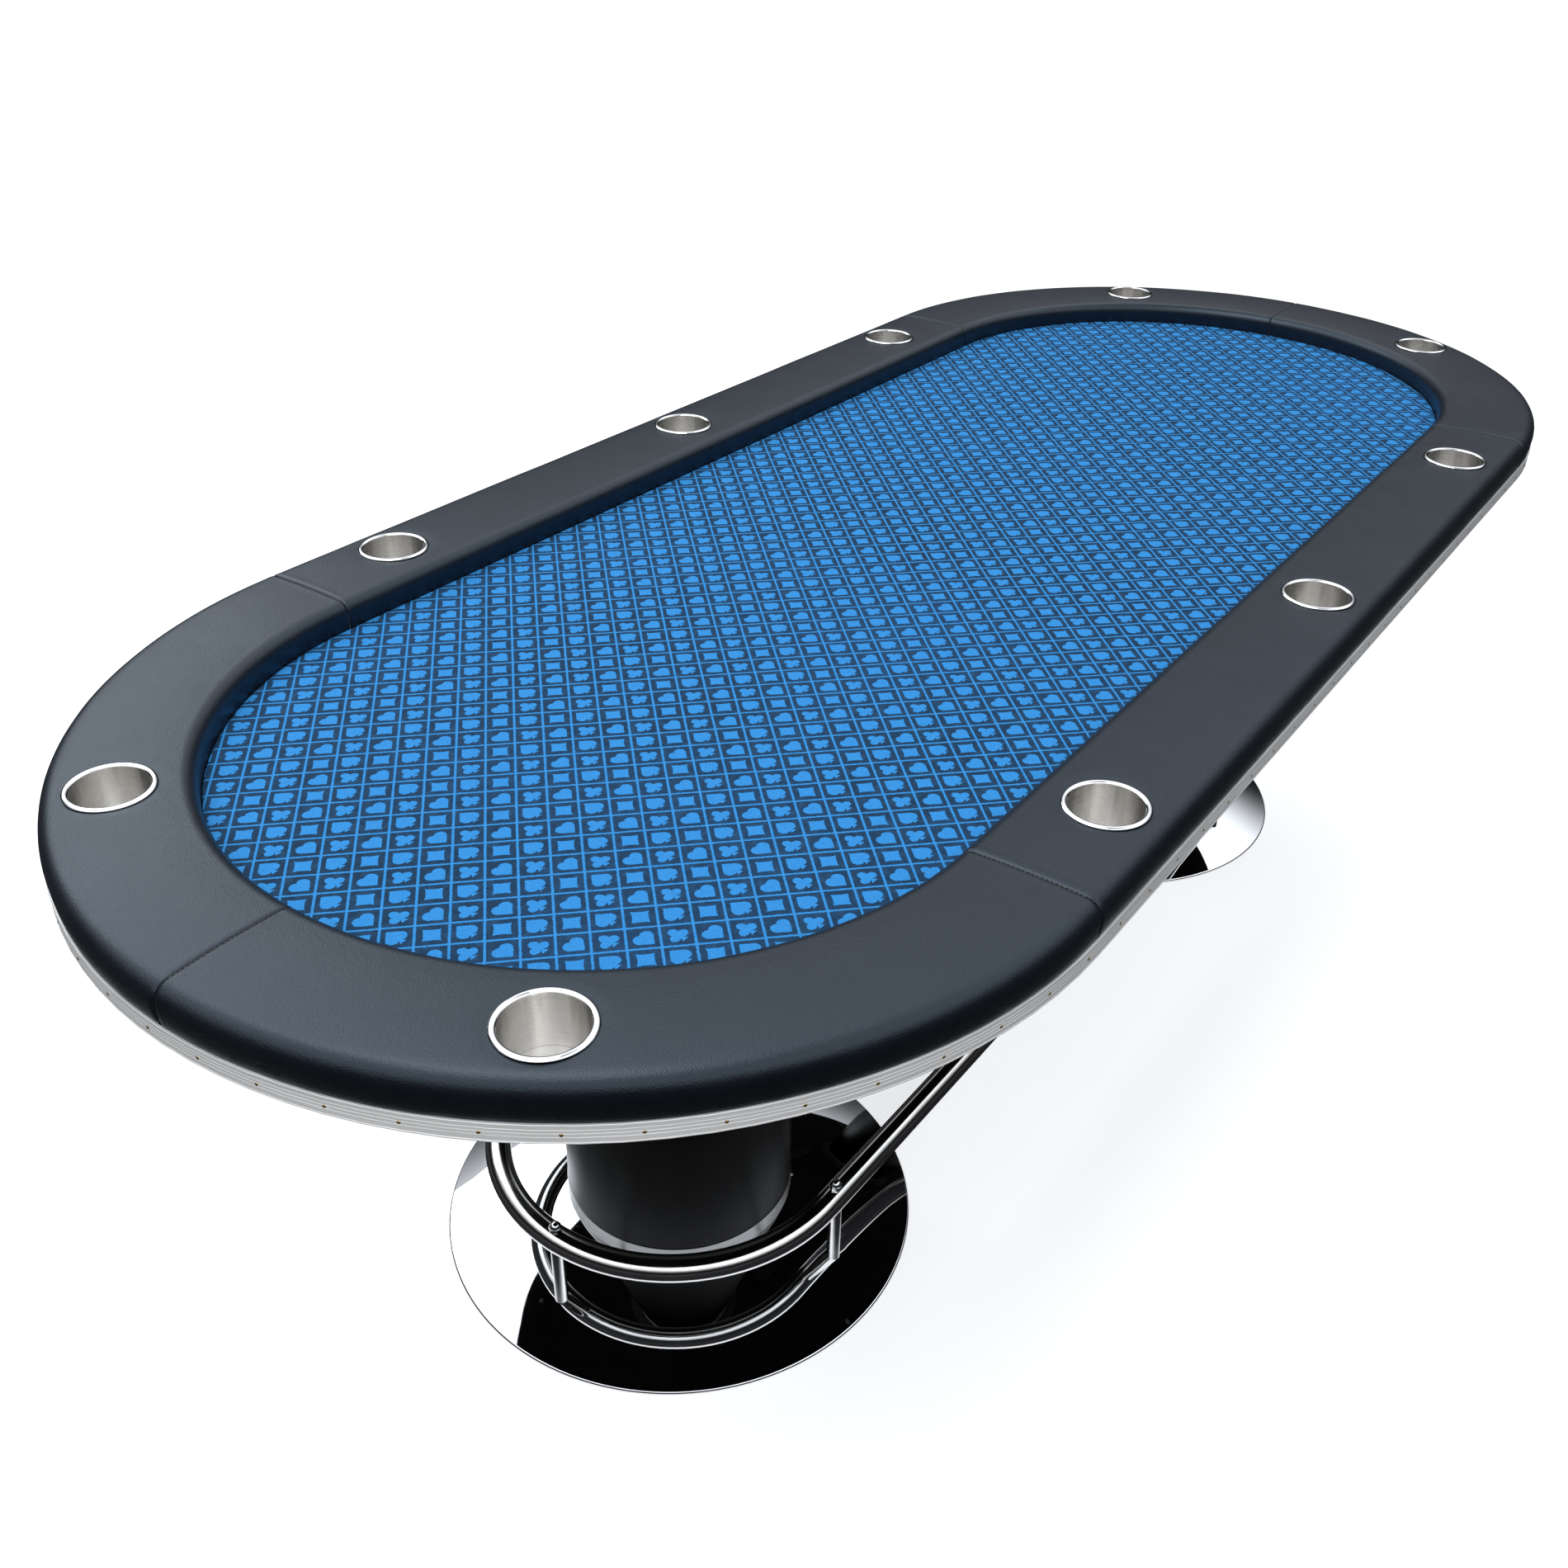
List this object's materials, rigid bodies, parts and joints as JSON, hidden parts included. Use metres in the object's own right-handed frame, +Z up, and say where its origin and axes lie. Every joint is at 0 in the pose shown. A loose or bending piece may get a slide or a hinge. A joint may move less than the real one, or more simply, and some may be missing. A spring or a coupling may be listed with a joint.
{
  "type": "poker table",
  "caption": "Long oval card table with a padded black rail, drop-in steel cup holders, suited blue cloth, grooved metal edge, chrome dome pedestals and a foot rail.",
  "frame": {"origin": "on the floor, midway between the two pedestals", "axes": "+X along the table's length towards pedestal b, +Y across the table, +Z up"},
  "size_m": [2.4384, 1.0674, 0.7615],
  "materials": {
    "plywood_deck": "matte",
    "hardwood_batten": "matte",
    "underlay_foam": "matte",
    "suited_speed_cloth": "matte",
    "plywood_core": "matte",
    "rail_foam": "matte",
    "fluted_aluminium": "satin",
    "brass_pin": "polished",
    "zinc_bolt": "satin",
    "zinc_insert": "satin",
    "threaded_steel": "satin",
    "zinc_nut": "satin",
    "disc_board": "matte",
    "black_screw": "satin",
    "band_pin_steel": "polished",
    "polished_tube": "polished",
    "sleeve_steel": "satin",
    "polished_post": "polished",
    "cap_nut_chrome": "polished",
    "black_vinyl": "satin",
    "brushed_cup": "satin",
    "black_column": "satin",
    "black_plate": "satin",
    "brushed_band": "satin",
    "cast_weight": "matte",
    "chrome_dome": "polished",
    "leveller_pad": "matte",
    "leveller_stem": "satin"
  },
  "bodies": {
    "root": {"deck_board": "plywood_deck", "deck_battens": "hardwood_batten", "playing_foam": "underlay_foam", "playing_cloth": "suited_speed_cloth", "rail_core": "plywood_core", "rail_foam": "rail_foam", "edge_trim": "fluted_aluminium", "trim_pins": "brass_pin", "rail_bolts": "zinc_bolt", "rail_inserts": "zinc_insert", "tie_rods": "threaded_steel", "tie_rod_nuts": "zinc_nut", "column_discs": "disc_board", "plate_screws": "black_screw", "band_pins": "band_pin_steel", "foot_rail_a": "polished_tube", "foot_rail_b": "polished_tube", "foot_rail_sleeves": "sleeve_steel", "foot_rail_posts": "polished_post", "foot_rail_nuts": "cap_nut_chrome", "rail_cover_end_a_left": "black_vinyl", "rail_cover_end_a_right": "black_vinyl", "rail_cover_end_b_left": "black_vinyl", "rail_cover_end_b_right": "black_vinyl", "rail_cover_side_left": "black_vinyl", "rail_cover_side_right": "black_vinyl", "column_shell_a": "black_column", "column_top_plate_a": "black_plate", "column_base_band_a": "brushed_band", "column_top_band_a": "brushed_band", "base_plate_a": "cast_weight", "base_cover_a": "chrome_dome", "column_shell_b": "black_column", "column_top_plate_b": "black_plate", "column_base_band_b": "brushed_band", "column_top_band_b": "brushed_band", "base_plate_b": "cast_weight", "base_cover_b": "chrome_dome"},
    "cup_01": {"cup_holder_01": "brushed_cup"},
    "cup_02": {"cup_holder_02": "brushed_cup"},
    "cup_03": {"cup_holder_03": "brushed_cup"},
    "cup_04": {"cup_holder_04": "brushed_cup"},
    "cup_05": {"cup_holder_05": "brushed_cup"},
    "cup_06": {"cup_holder_06": "brushed_cup"},
    "cup_07": {"cup_holder_07": "brushed_cup"},
    "cup_08": {"cup_holder_08": "brushed_cup"},
    "cup_09": {"cup_holder_09": "brushed_cup"},
    "cup_10": {"cup_holder_10": "brushed_cup"},
    "foot_pad_a1": {"leveller_pad_a1": "leveller_pad"},
    "foot_stem_a1": {"leveller_stem_a1": "leveller_stem"},
    "foot_pad_a2": {"leveller_pad_a2": "leveller_pad"},
    "foot_stem_a2": {"leveller_stem_a2": "leveller_stem"},
    "foot_pad_a3": {"leveller_pad_a3": "leveller_pad"},
    "foot_stem_a3": {"leveller_stem_a3": "leveller_stem"},
    "foot_pad_b1": {"leveller_pad_b1": "leveller_pad"},
    "foot_stem_b1": {"leveller_stem_b1": "leveller_stem"},
    "foot_pad_b2": {"leveller_pad_b2": "leveller_pad"},
    "foot_stem_b2": {"leveller_stem_b2": "leveller_stem"},
    "foot_pad_b3": {"leveller_pad_b3": "leveller_pad"},
    "foot_stem_b3": {"leveller_stem_b3": "leveller_stem"}
  },
  "joints": [
    {"name": "cup_lift_01", "type": "slide", "parent": "root", "child": "cup_01", "axis": [0, 0, 1], "range_m": [0, 0.11]},
    {"name": "cup_lift_02", "type": "slide", "parent": "root", "child": "cup_02", "axis": [0, 0, 1], "range_m": [0, 0.11]},
    {"name": "cup_lift_03", "type": "slide", "parent": "root", "child": "cup_03", "axis": [0, 0, 1], "range_m": [0, 0.11]},
    {"name": "cup_lift_04", "type": "slide", "parent": "root", "child": "cup_04", "axis": [0, 0, 1], "range_m": [0, 0.11]},
    {"name": "cup_lift_05", "type": "slide", "parent": "root", "child": "cup_05", "axis": [0, 0, 1], "range_m": [0, 0.11]},
    {"name": "cup_lift_06", "type": "slide", "parent": "root", "child": "cup_06", "axis": [0, 0, 1], "range_m": [0, 0.11]},
    {"name": "cup_lift_07", "type": "slide", "parent": "root", "child": "cup_07", "axis": [0, 0, 1], "range_m": [0, 0.11]},
    {"name": "cup_lift_08", "type": "slide", "parent": "root", "child": "cup_08", "axis": [0, 0, 1], "range_m": [0, 0.11]},
    {"name": "cup_lift_09", "type": "slide", "parent": "root", "child": "cup_09", "axis": [0, 0, 1], "range_m": [0, 0.11]},
    {"name": "cup_lift_10", "type": "slide", "parent": "root", "child": "cup_10", "axis": [0, 0, 1], "range_m": [0, 0.11]},
    {"name": "foot_slide_a1", "type": "slide", "parent": "root", "child": "foot_pad_a1", "axis": [0, 0, -1], "range_m": [0, 0.01]},
    {"name": "foot_turn_a1", "type": "hinge", "parent": "foot_pad_a1", "child": "foot_stem_a1", "pos_m": [-0.504, 0.1836, 0.005], "axis": [0, 0, -1], "range_deg": [0, 2400]},
    {"name": "foot_slide_a2", "type": "slide", "parent": "root", "child": "foot_pad_a2", "axis": [0, 0, -1], "range_m": [0, 0.01]},
    {"name": "foot_turn_a2", "type": "hinge", "parent": "foot_pad_a2", "child": "foot_stem_a2", "pos_m": [-0.822, 0, 0.005], "axis": [0, 0, -1], "range_deg": [0, 2400]},
    {"name": "foot_slide_a3", "type": "slide", "parent": "root", "child": "foot_pad_a3", "axis": [0, 0, -1], "range_m": [0, 0.01]},
    {"name": "foot_turn_a3", "type": "hinge", "parent": "foot_pad_a3", "child": "foot_stem_a3", "pos_m": [-0.504, -0.1836, 0.005], "axis": [0, 0, -1], "range_deg": [0, 2400]},
    {"name": "foot_slide_b1", "type": "slide", "parent": "root", "child": "foot_pad_b1", "axis": [0, 0, -1], "range_m": [0, 0.01]},
    {"name": "foot_turn_b1", "type": "hinge", "parent": "foot_pad_b1", "child": "foot_stem_b1", "pos_m": [0.504, 0.1836, 0.005], "axis": [0, 0, -1], "range_deg": [0, 2400]},
    {"name": "foot_slide_b2", "type": "slide", "parent": "root", "child": "foot_pad_b2", "axis": [0, 0, -1], "range_m": [0, 0.01]},
    {"name": "foot_turn_b2", "type": "hinge", "parent": "foot_pad_b2", "child": "foot_stem_b2", "pos_m": [0.822, 0, 0.005], "axis": [0, 0, -1], "range_deg": [0, 2400]},
    {"name": "foot_slide_b3", "type": "slide", "parent": "root", "child": "foot_pad_b3", "axis": [0, 0, -1], "range_m": [0, 0.01]},
    {"name": "foot_turn_b3", "type": "hinge", "parent": "foot_pad_b3", "child": "foot_stem_b3", "pos_m": [0.504, -0.1836, 0.005], "axis": [0, 0, -1], "range_deg": [0, 2400]}
  ],
  "couplings": [
    {"joint": "foot_slide_a1", "follows": "foot_turn_a1", "m_per_rad": 0.00023873},
    {"joint": "foot_slide_a2", "follows": "foot_turn_a2", "m_per_rad": 0.00023873},
    {"joint": "foot_slide_a3", "follows": "foot_turn_a3", "m_per_rad": 0.00023873},
    {"joint": "foot_slide_b1", "follows": "foot_turn_b1", "m_per_rad": 0.00023873},
    {"joint": "foot_slide_b2", "follows": "foot_turn_b2", "m_per_rad": 0.00023873},
    {"joint": "foot_slide_b3", "follows": "foot_turn_b3", "m_per_rad": 0.00023873}
  ]
}
